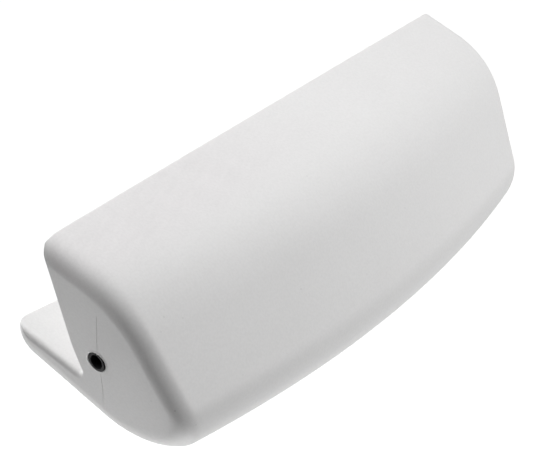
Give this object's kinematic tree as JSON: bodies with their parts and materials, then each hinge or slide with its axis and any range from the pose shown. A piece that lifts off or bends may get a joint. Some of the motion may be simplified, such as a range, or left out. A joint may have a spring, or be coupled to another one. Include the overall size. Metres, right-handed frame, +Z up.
{
  "type": "stern fender",
  "caption": "White moulded stern fender: two legs with a notch between them for a boat's edge, a bowed outer face and a black-lined rope tunnel along its length.",
  "frame": {"origin": "on the rope tunnel's axis, at the middle of the fender's length", "axes": "+X along the fender, +Y towards the boat (out of the notch), +Z up along the upper leg; the bowed outer face looks to -Y"},
  "size_m": [0.4848, 0.1349, 0.1474],
  "materials": {
    "white_vinyl": "satin",
    "black_plastic": "satin"
  },
  "bodies": {
    "root": {"fender_body": "white_vinyl", "rope_tube": "black_plastic"}
  },
  "joints": []
}
